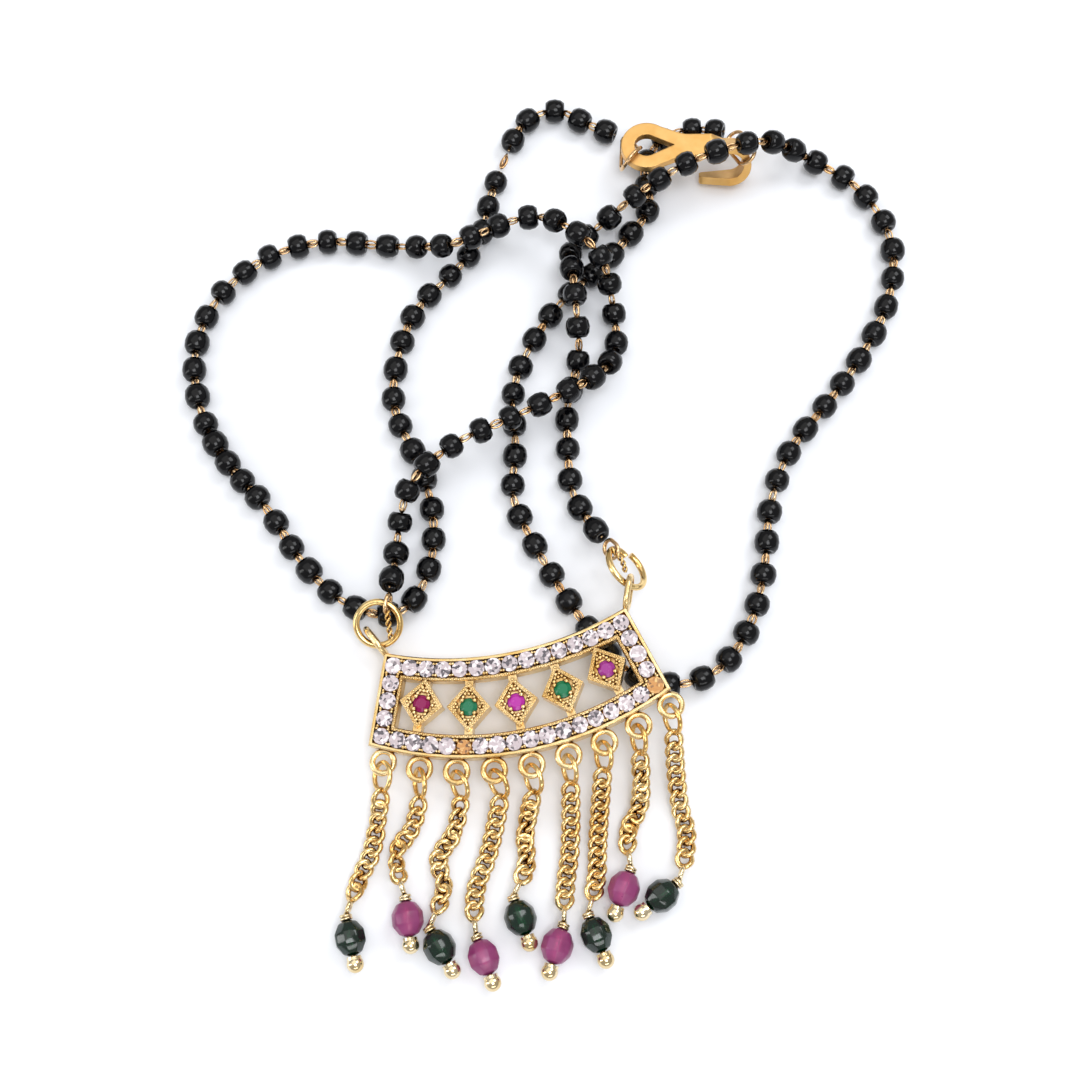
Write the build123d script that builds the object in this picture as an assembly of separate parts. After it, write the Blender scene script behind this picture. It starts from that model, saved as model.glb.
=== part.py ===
from build123d import *
from math import cos, degrees, pi, radians, sin, tan
import os

# Mangalsutra lying on a surface. Millimetres, +Z up, origin on the surface under the middle of the
# object's box. +X runs along the pendant's long way, +Y from the tassels to the clasp.

# Chain of black seed beads on wire links
bead_diameter = 3.0
strand_gap = 0.2
floor_line = bead_diameter / 2
over_line = floor_line + bead_diameter + strand_gap
span_gap = 0.3
link_wire = 0.45
loop_slit = 0.1

# Pendant frame
pendant_middle = (-3.05, -24.55, 2.85)
pendant_turn = 9.4
pendant_tilt = 6.5
frame_thick = 1.6
frame_bottom_half = 16.15
frame_top_half = 13.1
frame_height = 9.53
bottom_sag = 3.8
top_sag = 2.47
rail_width = 2.5
rim_width = 0.36
channel_floor = 0.75
band_gap = 0.05
edge_round = 0.12

# Diamond settings and their stones
diamond_count = 5
diamond_wide = 4.6
diamond_tall = 5.3
diamond_thick = 1.9
diamond_rim = 0.4
diamond_slant = 1.35
diamond_sink = 0.35
diamond_arc_radius = 30.04
diamond_arc_middle = 31.65
diamond_pitch = degrees(5.06 / diamond_arc_radius)
neck_width = 0.9
neck_tall = 6.1
neck_thick = 1.45
stone_diameter = 1.8
stone_radius = stone_diameter / 2
stone_height = 0.75
stone_gap = 0.05

# Loops along the bottom edge, eyes at the top corners
loop_count = 9
loop_radius = 1.15
loop_wire = 0.64
loop_pitch = 3.83
loop_shift = 0.45
loop_drop = 1.25
eye_wire = 0.7
eye_long = 4.2
eye_high = 3.3
eye_sunk = 0.35
left_eye_way = (-1.7, 3.1)
right_eye_way = (1.05, 3.1)

# Jump rings: the left one closed, the right one sprung open with one end bent inwards
jump_wire = 0.72
left_jump_radius = 2.35
left_jump_middle = (-18.35, -14.2, 3.3)
left_jump_normal = (0, -0.38, 0.925)
right_jump_radius = 2.5
right_jump_end_radius = 1.4
right_jump_middle = (8.3, -8.25, 4.3)
right_jump_long_way = (-0.05, 0.9, -0.43)
right_jump_normal = (0.622, 0.358, 0.677)
right_jump_start = -20
right_jump_turn = 50
right_jump_end = -45

# Tassels
tassel_ring_radius = 1.5
tassel_ring_wire = 0.52
chain_gap = 0.12
curb_diameter = 2.0
glass_diameter = 3.5
glass_length = 3.6
glass_height = glass_diameter / 2
glass_bore = 0.9
glass_end_diameter = 2.2
glass_waist = 0.4
glass_sides = 8
glass_gap = 0.1
knee_reach = glass_length / 2 + 0.45
pin_wire = 0.6
ball_diameter = 1.75
ball_reach = 2.65
cap_diameter = 1.5
cap_thick = 0.45
pin_eye_radius = 0.62
pin_eye_wire = 0.5
eye_reach = 0.95

# Hook clasp
clasp_middle = (11.6, 43.75, 4.22)
clasp_rise = 1.7
clasp_thick = 1.0
clasp_eye_radius = 3.0
clasp_hole_radius = 1.45
clasp_hole_tip = 3.3
shank_start = 4.4
shank_end = 7.6
shank_width = 2.8
twist_end = 9.0
hook_roll = 35
hook_width = 2.7
hook_thick = 0.9
hook_bend = 2.0
hook_top_end = 9.9
hook_tip = 6.3
hook_tip_width = 1.3
hook_tip_round = 0.5
shoulder_angle = 56
waist_radius = 3.0

# Route of each half of the chain: x, y and height of each corner of its line
left_route = (
    (8.3, 47.0, 1.6),
    (4.4, 48.6, floor_line),
    (1.2, 51.0, floor_line),
    (-3.2, 49.2, floor_line),
    (-5.2, 43.8, floor_line),
    (-7.0, 38.6, floor_line),
    (-7.8, 33.0, floor_line),
    (-11.2, 28.4, floor_line),
    (-15.6, 24.0, floor_line),
    (-17.5, 17.6, floor_line),
    (-17.9, 11.4, floor_line),
    (-14.5, 5.0, floor_line),
    (-12.6, -1.4, floor_line),
    (-12.9, -8.0, floor_line),
    (-16.0, -13.2, floor_line),
    (-22.0, -12.0, floor_line),
    (-27.2, -7.0, floor_line),
    (-31.2, -0.4, floor_line),
    (-36.4, 5.0, floor_line),
    (-39.8, 11.4, floor_line),
    (-41.0, 18.8, floor_line),
    (-38.6, 25.8, floor_line),
    (-33.0, 31.0, floor_line),
    (-26.4, 33.0, floor_line),
    (-20.0, 32.2, floor_line),
    (-15.6, 31.6, 2.2),
    (-11.2, 30.4, over_line),
    (-5.2, 33.4, over_line),
    (-1.6, 34.7, 4.2),
    (1.5, 32.6, 6.4),
    (6.3, 28.6, 6.4),
    (7.5, 24.0, 1.7),
    (8.0, 18.6, floor_line),
    (5.8, 14.3, over_line),
    (0.2, 11.2, over_line),
    (-5.6, 8.4, over_line),
    (-10.4, 6.2, over_line),
    (-15.4, 1.8, over_line),
    (-16.6, -3.0, 2.2),
    (-16.8, -7.4, 2.4),
    (-17.2, -10.6, 4.3),
)
right_route = (
    (21.4, 46.9, 2.5),
    (17.8, 48.3, floor_line),
    (13.2, 46.6, floor_line),
    (11.0, 42.0, floor_line),
    (12.6, 37.6, floor_line),
    (9.2, 33.0, floor_line),
    (5.4, 28.6, floor_line),
    (1.4, 25.0, floor_line),
    (-2.2, 19.4, floor_line),
    (-4.4, 13.4, floor_line),
    (-3.6, 7.4, floor_line),
    (-4.3, 0.8, floor_line),
    (-2.2, -3.7, floor_line),
    (0.6, -8.8, floor_line),
    (3.8, -13.8, floor_line),
    (7.8, -18.8, floor_line),
    (12.6, -21.0, floor_line),
    (18.4, -19.2, floor_line),
    (22.0, -14.0, floor_line),
    (23.8, -7.2, floor_line),
    (24.3, -0.6, floor_line),
    (26.7, 6.3, floor_line),
    (31.5, 11.9, floor_line),
    (36.2, 18.2, floor_line),
    (39.9, 25.4, floor_line),
    (40.8, 33.2, floor_line),
    (37.2, 40.1, floor_line),
    (31.8, 43.5, floor_line),
    (28.2, 43.8, 4.4),
    (24.6, 42.8, 7.5),
    (18.0, 40.8, 7.4),
    (13.4, 39.0, 5.8),
    (9.6, 36.6, over_line),
    (5.6, 34.2, 1.8),
    (2.6, 31.8, floor_line),
    (2.5, 28.8, 4.1),
    (2.8, 26.4, 5.1),
    (3.2, 21.6, over_line),
    (3.6, 17.4, floor_line),
    (2.0, 12.4, floor_line),
    (2.1, 6.4, floor_line),
    (2.4, 1.4, floor_line),
    (4.3, -2.2, 2.1),
    (5.9, -4.6, 3.3),
)
left_spans = (9, 18, 27, 34)
right_spans = (9, 18, 27, 36)

# Loop that ties the left half of the chain to the clasp: under the plate's rim, over it and down
# through its hole
clasp_loop_route = (
    (8.9, 46.6, 2.0),
    (8.6, 41.7, 2.4),
    (8.8, 40.9, 4.4),
    (9.8, 42.0, 5.6),
    (11.0, 43.4, 4.9),
    (10.7, 44.1, 3.2),
    (9.7, 45.7, 3.0),
)

# The other oval loops: both ends of the middle line, a way across it and its width
end_loops = (
    {"node": "end_loop_hook", "start": (23.72, 41.6, 4.92), "end": (21.75, 46.2, 2.8),
     "side": (0.668, 0.502, 0.538), "width": 2.45},
    {"node": "end_loop_left_ring", "start": (-17.45, -13.1, 3.75), "end": (-17.17, -11.22, 4.31),
     "side": (0.26, 0.42, -0.86), "width": 1.5},
    {"node": "end_loop_right_ring", "start": (7.3, -6.95, 4.95), "end": (6.1, -5.35, 3.7),
     "side": (0.214, 0.843, 0.429), "width": 1.7},
)

# Tassels from left to right: a point that the ring lies towards, the ring's roll about that way, the
# corners of the curb chain's line, the middle of the glass bead and a point that its ball lies towards
tassels = (
    {"way": (-17.7, -34.0, 1.1), "roll": 52,
     "chain": ((-18.0, -37.4, 1.0), (-19.6, -40.6, 1.0)),
     "bead": (-20.3, -46.8), "ball": (-19.7, -49.3)},
    {"way": (-13.5, -34.2, 1.1), "roll": 66,
     "chain": ((-13.9, -35.8, 1.0), (-16.5, -38.0, 1.0)),
     "bead": (-14.5, -44.9), "ball": (-14.1, -47.6)},
    {"way": (-8.9, -33.6, 1.3), "roll": 60,
     "chain": ((-9.6, -36.2, 1.0), (-12.0, -38.8, 1.0), (-10.4, -41.6, 1.0)),
     "bead": (-11.2, -47.7), "ball": (-9.9, -49.9)},
    {"way": (-4.5, -33.8, 1.5), "roll": 60,
     "chain": ((-6.0, -38.0, 1.0), (-8.0, -42.2, 1.0)),
     "bead": (-6.7, -48.7), "ball": (-5.8, -51.1)},
    {"way": (-1.2, -34.2, 1.7), "roll": 60,
     "chain": ((-2.9, -36.6, 1.0), (-2.0, -39.2, 1.0)),
     "bead": (-3.0, -44.8), "ball": (-2.1, -47.2)},
    {"way": (2.4, -33.8, 1.8), "roll": 66,
     "chain": ((2.3, -37.4, 1.0), (1.6, -41.2, 1.0)),
     "bead": (0.75, -47.6), "ball": (0.0, -50.0)},
    {"way": (5.4, -33.4, 1.8), "roll": 60,
     "chain": ((4.9, -37.2, 1.0), (5.0, -40.8, 1.0)),
     "bead": (4.7, -46.5), "ball": (5.6, -48.8)},
    {"way": (9.4, -31.0, 2.2), "roll": 66,
     "chain": ((10.0, -33.2, 1.0), (7.8, -35.8, 1.0)),
     "bead": (7.6, -41.9), "ball": (6.7, -44.3)},
    {"way": (13.4, -29.5, 2.4), "roll": 66,
     "chain": ((13.3, -33.0, 1.0), (14.7, -36.6, 1.0)),
     "bead": (11.5, -42.6), "ball": (9.6, -44.1)},
)


pendant_place = Pos(*pendant_middle) * Rot(Z=pendant_turn) * Rot(Y=-pendant_tilt)


def corner_radii(points):
    """Give each corner of a line the largest arc that its two runs allow."""
    radii = []
    for before, here, after in zip(points, points[1:], points[2:]):
        run_in = Vector(here) - Vector(before)
        run_out = Vector(after) - Vector(here)
        turn = run_in.get_angle(run_out)
        shorter = min(run_in.length, run_out.length)
        radii.append(0.45 * shorter / tan(radians(turn / 2)))
    return radii


def round_bar(path, diameter):
    """Sweep a round section along a path, at right angles to its start."""
    start = Plane(origin=path @ 0, z_dir=path % 0)
    return sweep(start * Circle(diameter / 2), path=path)


def tube(points, radii, diameter, label):
    """Make a round bar along straight runs joined by arcs, and print its bends."""
    path = FilletPolyline(*points, radius=radii)
    bar = round_bar(path, diameter)
    section = pi * diameter**2 / 4
    ratio = bar.volume / (section * path.length)
    print(f"{label}: length {path.length:.1f}, tightest {min(radii):.1f}, volume ratio {ratio:.4f}")
    return bar


def run_middle(points, run, shift):
    """Find a point on a run, near its middle and moved along it by a small shift."""
    start, end = Vector(points[run]), Vector(points[run + 1])
    return (start + end) * 0.5 + (end - start).normalized() * shift


def strand_spans(route, cuts):
    """Cut a half of the chain at the middles of some of its runs, with a small gap at each cut."""
    radii = corner_radii(route)
    last_point = len(route) - 1
    firsts = (0, *cuts)
    lasts = (*cuts, last_point)
    spans = []
    for first, last in zip(firsts, lasts):
        inner_first = first + 1
        inner_last = last if last < last_point else last - 1
        start = route[0] if first == 0 else run_middle(route, first, span_gap / 2)
        end = route[-1] if last == last_point else run_middle(route, last, -span_gap / 2)
        points = [tuple(start), *route[inner_first:inner_last + 1], tuple(end)]
        spans.append((points, radii[inner_first - 1:inner_last]))
    return spans


def wire_oval(long_side, short_side, diameter):
    """Make a flat wire ring with two straight sides; both sizes are of the wire's middle line."""
    path = Wire(SlotOverall(long_side, short_side).face().outer_wire().edges())
    return round_bar(path, diameter)


def end_loop(start, end, side_way, short_side):
    """Make the oval loop whose middle line runs from one point to the other."""
    start, end = Vector(start), Vector(end)
    long_way = end - start
    plane = Plane(origin=(start + end) * 0.5, x_dir=long_way, z_dir=long_way.cross(Vector(side_way)))
    return plane * wire_oval(long_way.length, short_side, link_wire)


def frame_outline(inset):
    """Draw the pendant's arched outline, or a smaller one inside it."""
    left_foot = (-frame_bottom_half, 0)
    right_foot = (frame_bottom_half, 0)
    right_top = (frame_top_half, frame_height)
    left_top = (-frame_top_half, frame_height)
    edges = [
        ThreePointArc(left_foot, (0, -bottom_sag), right_foot),
        Line(right_foot, right_top),
        ThreePointArc(right_top, (0, frame_height - top_sag), left_top),
        Line(left_top, left_foot),
    ]
    face = make_face(edges)
    if inset:
        face = offset(face, amount=-inset, kind=Kind.INTERSECTION)
    return face


def diamond(wide, tall):
    corners = ((wide / 2, 0), (0, tall / 2), (-wide / 2, 0), (0, -tall / 2))
    return make_face(Polyline(*corners, close=True))


def diamond_places():
    """Places of the five settings, side by side on an arc."""
    for index in range(diamond_count):
        angle = (index - (diamond_count - 1) / 2) * diamond_pitch
        x = diamond_arc_radius * sin(radians(angle))
        y = diamond_arc_middle - diamond_arc_radius * cos(radians(angle))
        yield Location((x, y, 0), (0, 0, angle))


def loop_places():
    """Places of the loops below the bottom edge, on an arc just outside it."""
    bottom_radius = (frame_bottom_half**2 + bottom_sag**2) / (2 * bottom_sag)
    arc_middle = bottom_radius - bottom_sag
    reach = bottom_radius + loop_drop
    for index in range(loop_count):
        along = (index - (loop_count - 1) / 2) * loop_pitch + loop_shift
        angle = degrees(along / bottom_radius)
        x = reach * sin(radians(angle))
        y = arc_middle - reach * cos(radians(angle))
        yield Location((x, y, frame_thick / 2), (0, 0, angle))


def corner_eye(side, way):
    """Make the upright wire eye that stands out from a top corner of the frame."""
    reach = Vector(*way, 0).normalized()
    corner = Vector(side * frame_top_half, frame_height, frame_thick / 2)
    middle = corner + reach * (eye_long / 2 - eye_sunk)
    upright = Plane(origin=middle, x_dir=reach, z_dir=reach.cross(Vector(0, 0, 1)))
    return upright * wire_oval(eye_long - eye_wire, eye_high - eye_wire, eye_wire)


def setting():
    """Make a diamond plate with a sunk field and a seat for its stone."""
    block = extrude(diamond(diamond_wide, diamond_tall), amount=diamond_thick)
    inner_wide = diamond_wide - 2 * diamond_rim * diamond_slant
    inner_tall = diamond_tall - 2 * diamond_rim * diamond_slant
    field = extrude(diamond(inner_wide, inner_tall), amount=diamond_sink)
    seat_depth = stone_height + stone_gap
    seat = Cylinder(stone_diameter / 2 + stone_gap, 2 * seat_depth)
    return block - Pos(Z=diamond_thick - diamond_sink) * field - Pos(Z=diamond_thick) * seat


def pendant_frame():
    """Cast the rails, the settings, the loops and the eyes as one piece."""
    rails = extrude(frame_outline(0) - frame_outline(rail_width), amount=frame_thick)
    rails = chamfer(rails.edges().group_by(Axis.Z)[-1], edge_round)
    channel = frame_outline(rim_width) - frame_outline(rail_width - rim_width)
    rails -= Pos(Z=channel_floor) * extrude(channel, amount=frame_thick)
    reach = extrude(frame_outline(rail_width - rim_width / 2), amount=neck_thick)
    neck = Pos(Z=neck_thick / 2) * Box(neck_width, neck_tall, neck_thick)
    seat = Pos(Z=diamond_thick / 2) * Cylinder(stone_radius + stone_gap, diamond_thick)
    parts = [place * setting() for place in diamond_places()]
    parts += [(place * (neck - seat)) & reach for place in diamond_places()]
    parts += [place * Torus(loop_radius, loop_wire / 2) for place in loop_places()]
    parts += [corner_eye(-1, left_eye_way), corner_eye(1, right_eye_way)]
    return pendant_place * (rails + parts)


def pave_band():
    """Fill the channel with the paved surface."""
    outer = frame_outline(rim_width + band_gap)
    inner = frame_outline(rail_width - rim_width - band_gap)
    thick = frame_thick - channel_floor - band_gap
    return pendant_place * Pos(Z=channel_floor + band_gap) * extrude(outer - inner, amount=thick)


def centre_stone(place):
    """Cut a round stone with a flat table, seated in its setting."""
    outline = Polyline(
        (0, 0),
        (stone_radius * 0.55, 0),
        (stone_radius, stone_height * 0.5),
        (stone_radius, stone_height * 0.65),
        (stone_radius * 0.6, stone_height),
        (0, stone_height),
        close=True,
    )
    stone = revolve(Plane.XZ * make_face(outline), Axis.Z)
    return pendant_place * place * Pos(Z=diamond_thick - stone_height) * stone


def left_jump_ring():
    plane = Plane(origin=left_jump_middle, z_dir=left_jump_normal)
    return plane * Torus(left_jump_radius, jump_wire / 2)


def right_jump_ring():
    """Bend an open ring whose end turns inwards past its start."""
    sweep_outer = right_jump_turn - right_jump_start - 360
    outer = CenterArc((0, 0), right_jump_radius, right_jump_start, sweep_outer)
    reach = right_jump_radius - right_jump_end_radius
    turn = radians(right_jump_turn)
    inner_middle = (reach * cos(turn), reach * sin(turn))
    sweep_inner = right_jump_end - right_jump_turn
    inner = CenterArc(inner_middle, right_jump_end_radius, right_jump_turn, sweep_inner)
    plane = Plane(origin=right_jump_middle, x_dir=right_jump_long_way, z_dir=right_jump_normal)
    return plane * round_bar(Wire([outer.edge(), inner.edge()]), jump_wire)


def clasp_hook():
    """Join the flat teardrop eye, the shank and the hook bent from the same strip."""
    shoulder_x = clasp_eye_radius * cos(radians(shoulder_angle))
    shoulder_y = clasp_eye_radius * sin(radians(shoulder_angle))
    half_shank = shank_width / 2
    shoulder = make_face(Polyline(
        (shoulder_x, shoulder_y),
        (shank_start, half_shank),
        (shank_end, half_shank),
        (shank_end, -half_shank),
        (shank_start, -half_shank),
        (shoulder_x, -shoulder_y),
        close=True,
    ))
    outline = Circle(clasp_eye_radius) + shoulder
    waist = [corner for corner in outline.vertices() if abs(corner.X - shank_start) < 0.01]
    outline = fillet(waist, waist_radius)
    tip_x = clasp_hole_radius * cos(radians(shoulder_angle))
    tip_y = clasp_hole_radius * sin(radians(shoulder_angle))
    hole = Circle(clasp_hole_radius) + make_face(
        Polyline((tip_x, tip_y), (clasp_hole_tip, 0), (tip_x, -tip_y), close=True)
    )
    plate = Pos(Z=-clasp_thick / 2) * extrude(outline - hole, amount=clasp_thick)
    top = Line((twist_end, 0), (hook_top_end, 0))
    bend = CenterArc((hook_top_end, -hook_bend), hook_bend, 90, -180)
    strip_line = Wire([top.edge(), bend.edge()])
    side = Plane(origin=strip_line @ 0, x_dir=(0, 0, 1), z_dir=strip_line % 0)
    arm = loft([
        Plane(origin=(x, -2 * hook_bend, 0), x_dir=(0, 0, 1), z_dir=(-1, 0, 0)) * Rectangle(width, hook_thick)
        for x, width in ((hook_top_end, hook_width), (hook_tip, hook_tip_width))
    ])
    arm = fillet(arm.edges().filter_by(Axis.Y).group_by(Axis.X)[0], hook_tip_round)
    strip = sweep(side * Rectangle(hook_width, hook_thick), path=strip_line) + arm
    strip = Rot(X=90 - hook_roll) * strip
    twist = loft([
        Plane(origin=(shank_end, 0, 0), x_dir=(0, 1, 0), z_dir=(1, 0, 0)) * Rectangle(shank_width, clasp_thick),
        Plane(origin=(twist_end, 0, 0), x_dir=(0, 1, 0), z_dir=(1, 0, 0))
        * Rot(Z=-hook_roll) * Rectangle(hook_width, hook_thick),
    ])
    return Pos(*clasp_middle) * Rot(Y=-clasp_rise) * (plate + twist + strip)


def clasp_loop():
    """Bend the loop that passes through the clasp's hole."""
    closed = [*clasp_loop_route, clasp_loop_route[0]]
    start = run_middle(closed, 0, loop_slit / 2)
    end = run_middle(closed, 0, -loop_slit / 2)
    corners = [*closed[1:-1], closed[0]]
    radii = corner_radii([closed[0], *corners, closed[1]])
    path = FilletPolyline(tuple(start), *corners, tuple(end), radius=radii)
    return round_bar(path, link_wire)


def glass_bead(middle, way):
    """Cut a bead with flat sides that narrow to both ends, bored for its pin."""
    half = glass_length / 2
    sections = ((-half, glass_end_diameter), (-glass_waist / 2, glass_diameter))
    sections += tuple((-height, diameter) for height, diameter in reversed(sections))
    faces = [Plane.XY.offset(height) * RegularPolygon(diameter / 2, glass_sides) for height, diameter in sections]
    body = loft(faces, ruled=True) - Cylinder(glass_bore / 2, 2 * glass_length)
    return Plane(origin=middle, z_dir=way) * body


def head_pin(middle, axis, eye_way):
    """Join a ball, a cap, a wire through the bead and an eye that turns towards its chain."""
    place = Plane(origin=middle, x_dir=(-axis.Y, axis.X, 0), z_dir=axis)
    shaft = Pos(Z=(knee_reach - ball_reach) / 2) * Cylinder(pin_wire / 2, knee_reach + ball_reach)
    knee = Pos(Z=knee_reach) * Sphere(pin_wire / 2)
    cap_middle = glass_length / 2 + glass_gap + cap_thick / 2
    cap = Pos(Z=-cap_middle) * Cylinder(cap_diameter / 2, cap_thick)
    ball = Pos(Z=-ball_reach) * Sphere(ball_diameter / 2)
    knee_point = middle + axis * knee_reach
    side = Vector(-eye_way.Y, eye_way.X, 0)
    eye_plane = Plane(origin=knee_point + eye_way * eye_reach, x_dir=eye_way, z_dir=side)
    eye = eye_plane * Torus(pin_eye_radius, pin_eye_wire / 2)
    neck_length = eye_reach - pin_eye_radius
    neck = Plane(origin=knee_point, z_dir=eye_way) * Pos(Z=neck_length / 2) * Cylinder(pin_wire / 2, neck_length)
    return place * (shaft + knee + cap + ball) + neck + eye


def tassel_nodes(number, row, loop_middle):
    """Hang one tassel from its loop: a ring, a curb chain, a bead and its pin."""
    way = (Vector(row["way"]) - loop_middle).normalized()
    up = Vector(0, 0, 1) - way * way.Z
    normal = up.normalized().rotate(Axis((0, 0, 0), way), row["roll"])
    ring_middle = loop_middle + way * tassel_ring_radius
    ring_plane = Plane(origin=ring_middle, x_dir=way, z_dir=normal)
    ring = ring_plane * Torus(tassel_ring_radius, tassel_ring_wire / 2)

    bead_middle = Vector(*row["bead"], glass_height)
    axis = (bead_middle - Vector(*row["ball"], glass_height)).normalized()
    knee = bead_middle + axis * knee_reach
    eye_way = (Vector(row["chain"][-1]) - knee).normalized()
    chain_start = ring_middle + way * (tassel_ring_radius + tassel_ring_wire / 2 + chain_gap)
    chain_end = knee + eye_way * (eye_reach + pin_eye_radius + pin_eye_wire / 2 + chain_gap)
    route = [tuple(chain_start), *row["chain"], tuple(chain_end)]
    return {
        f"tassel_ring_{number}": ring,
        f"tassel_chain_{number}": tube(route, corner_radii(route), curb_diameter, f"tassel_chain_{number}"),
        f"glass_bead_{number}": glass_bead(bead_middle, axis),
        f"head_pin_{number}": head_pin(bead_middle, axis, eye_way),
    }


def strand_nodes():
    nodes = {}
    for side, route, cuts in (("left", left_route, left_spans), ("right", right_route, right_spans)):
        for number, (points, radii) in enumerate(strand_spans(route, cuts), start=1):
            name = f"strand_{side}_{number}"
            nodes[name] = tube(points, radii, bead_diameter, name)
    return nodes


nodes = {
    "pendant_frame": pendant_frame(),
    "pave_band": pave_band(),
    "jump_ring_left": left_jump_ring(),
    "jump_ring_right": right_jump_ring(),
    "clasp_hook": clasp_hook(),
    "end_loop_clasp": clasp_loop(),
}
for number, place in enumerate(diamond_places(), start=1):
    nodes[f"centre_stone_{number}"] = centre_stone(place)
for row in end_loops:
    nodes[row["node"]] = end_loop(row["start"], row["end"], row["side"], row["width"])
nodes |= strand_nodes()
for number, (row, place) in enumerate(zip(tassels, loop_places()), start=1):
    nodes |= tassel_nodes(number, row, (pendant_place * place).position)

os.makedirs("parts", exist_ok=True)
for name, solid in nodes.items():
    export_step(solid, f"parts/{name}.step")
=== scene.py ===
# %% [markdown]
# # A mangalsutra, lying on a table
# The necklace is a long string of black seed beads on wire links, with an arched pendant set with
# small stones, a fringe of short curb chains that end in glass beads, and a flat hook clasp.
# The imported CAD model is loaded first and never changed. It gives every part its place and size, and
# this script adds what the eye sees: single beads, links, stones, prongs and finishes.

import random
from math import asin, ceil, cos, pi, radians, sin, sqrt

import bpy
from mathutils import Matrix, Vector


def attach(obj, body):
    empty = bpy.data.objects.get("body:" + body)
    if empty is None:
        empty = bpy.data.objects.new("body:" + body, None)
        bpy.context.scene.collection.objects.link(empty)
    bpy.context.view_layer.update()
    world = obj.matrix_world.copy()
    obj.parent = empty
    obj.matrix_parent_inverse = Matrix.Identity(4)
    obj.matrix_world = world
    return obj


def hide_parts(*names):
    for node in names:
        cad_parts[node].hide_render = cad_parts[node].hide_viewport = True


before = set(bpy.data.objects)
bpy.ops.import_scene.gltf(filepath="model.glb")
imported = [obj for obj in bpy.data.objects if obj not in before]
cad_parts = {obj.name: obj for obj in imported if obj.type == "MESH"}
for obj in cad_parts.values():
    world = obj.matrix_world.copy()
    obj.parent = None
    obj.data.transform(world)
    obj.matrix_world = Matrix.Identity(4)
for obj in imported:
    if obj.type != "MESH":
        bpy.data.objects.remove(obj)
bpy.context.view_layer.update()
print("CAD nodes:", len(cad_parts))

# %% [markdown]
# ## Units
# Blender works in metres and jewellery is measured in millimetres, so every size below is a number
# of millimetres times MM.

# %% Millimetres
MM = 0.001


def mm(*values):
    return Vector(values) * MM


# %% [markdown]
# ## Camera
# The picture was taken from almost straight above, from the tassels' side, so the pendant is a little
# larger than the clasp. A camera 172 mm away with a short portrait lens gives the same taper.

# %% Camera
VIEW_ELEVATION = 72
VIEW_DISTANCE = 172.0
VIEW_TARGET = mm(-1.0, -3.7, 0.0)
LENS, FILM = 51.5, 36
NEAREST = 5.0

camera_data = bpy.data.cameras.new("camera")
camera_data.lens = LENS
camera_data.sensor_width = FILM
camera_data.clip_start = NEAREST * MM
camera = bpy.data.objects.new("camera", camera_data)
bpy.context.collection.objects.link(camera)
elevation = radians(VIEW_ELEVATION)
camera.location = VIEW_TARGET + mm(0, -cos(elevation), sin(elevation)) * VIEW_DISTANCE
camera.rotation_euler = (pi / 2 - elevation, 0, 0)
bpy.context.scene.camera = camera
print("camera at", [round(value / MM, 1) for value in camera.location])

# %% [markdown]
# ## Helpers for modelling
# An operator acts on everything that is selected, and loading the frame leaves its nodes selected.
# So each piece starts from an empty selection. A shape that repeats is modelled once, as a template
# round the origin, and lay_copies sets copies of it in their places and joins them into one piece.

# %% Modelling helpers
def clear_selection():
    active = bpy.context.view_layer.objects.active
    if active and active.mode != "OBJECT":
        bpy.ops.object.mode_set(mode="OBJECT")
    bpy.ops.object.select_all(action="DESELECT")


def take(piece):
    clear_selection()
    piece.select_set(True)
    bpy.context.view_layer.objects.active = piece
    return piece


def start_piece(add, **sizes):
    """Add a primitive on its own and return it."""
    clear_selection()
    add(**sizes)
    return bpy.context.object


def stretch(piece, along):
    """Scale a whole piece in edit mode, about the origin."""
    take(piece)
    bpy.ops.object.mode_set(mode="EDIT")
    bpy.ops.mesh.select_all(action="SELECT")
    bpy.ops.transform.resize(value=along, center_override=(0, 0, 0))
    bpy.ops.object.mode_set(mode="OBJECT")


def apply_modifier(piece, kind, **settings):
    take(piece)
    modifier = piece.modifiers.new(kind.lower(), kind)
    for name, value in settings.items():
        setattr(modifier, name, value)
    bpy.ops.object.modifier_apply(modifier=modifier.name)


def shade(piece, sharp_angle=None):
    """Smooth shading, with edges sharper than the angle left crisp."""
    take(piece)
    if sharp_angle is None:
        bpy.ops.object.shade_smooth()
    else:
        bpy.ops.object.shade_smooth_by_angle(angle=radians(sharp_angle))


def lay_copies(template, places, name):
    """Set a copy of a template in each place and join them."""
    clear_selection()
    copy = None
    for place in places:
        copy = template.copy()
        copy.data = template.data.copy()
        copy.data.transform(place)
        if place.determinant() < 0:
            copy.data.flip_normals()
        bpy.context.collection.objects.link(copy)
        copy.select_set(True)
    bpy.context.view_layer.objects.active = copy
    if len(places) > 1:
        bpy.ops.object.join()
    copy.name = copy.data.name = name
    print(f"{name}: {len(places)} copies, {len(copy.data.polygons)} faces")
    return copy


def drop_template(template):
    bpy.data.objects.remove(template)


def add_piece(piece, material, slot, *replaced):
    """Give a finished piece its finish and its place in the frame."""
    piece.data.materials.clear()
    piece.data.materials.append(material)
    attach(piece, "root")
    if replaced:
        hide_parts(*replaced)


# %% [markdown]
# ## Lines to lay pieces along
# Beads and chain links follow a smooth line. The line is a NURBS spline with the route's corners as
# its control points. Its order is set after the points, because set before, it would stay straight
# between them. Blender evaluates the curve, and the script reads the points of the result.

# %% Lines
LINE_STEPS = 24


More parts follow.
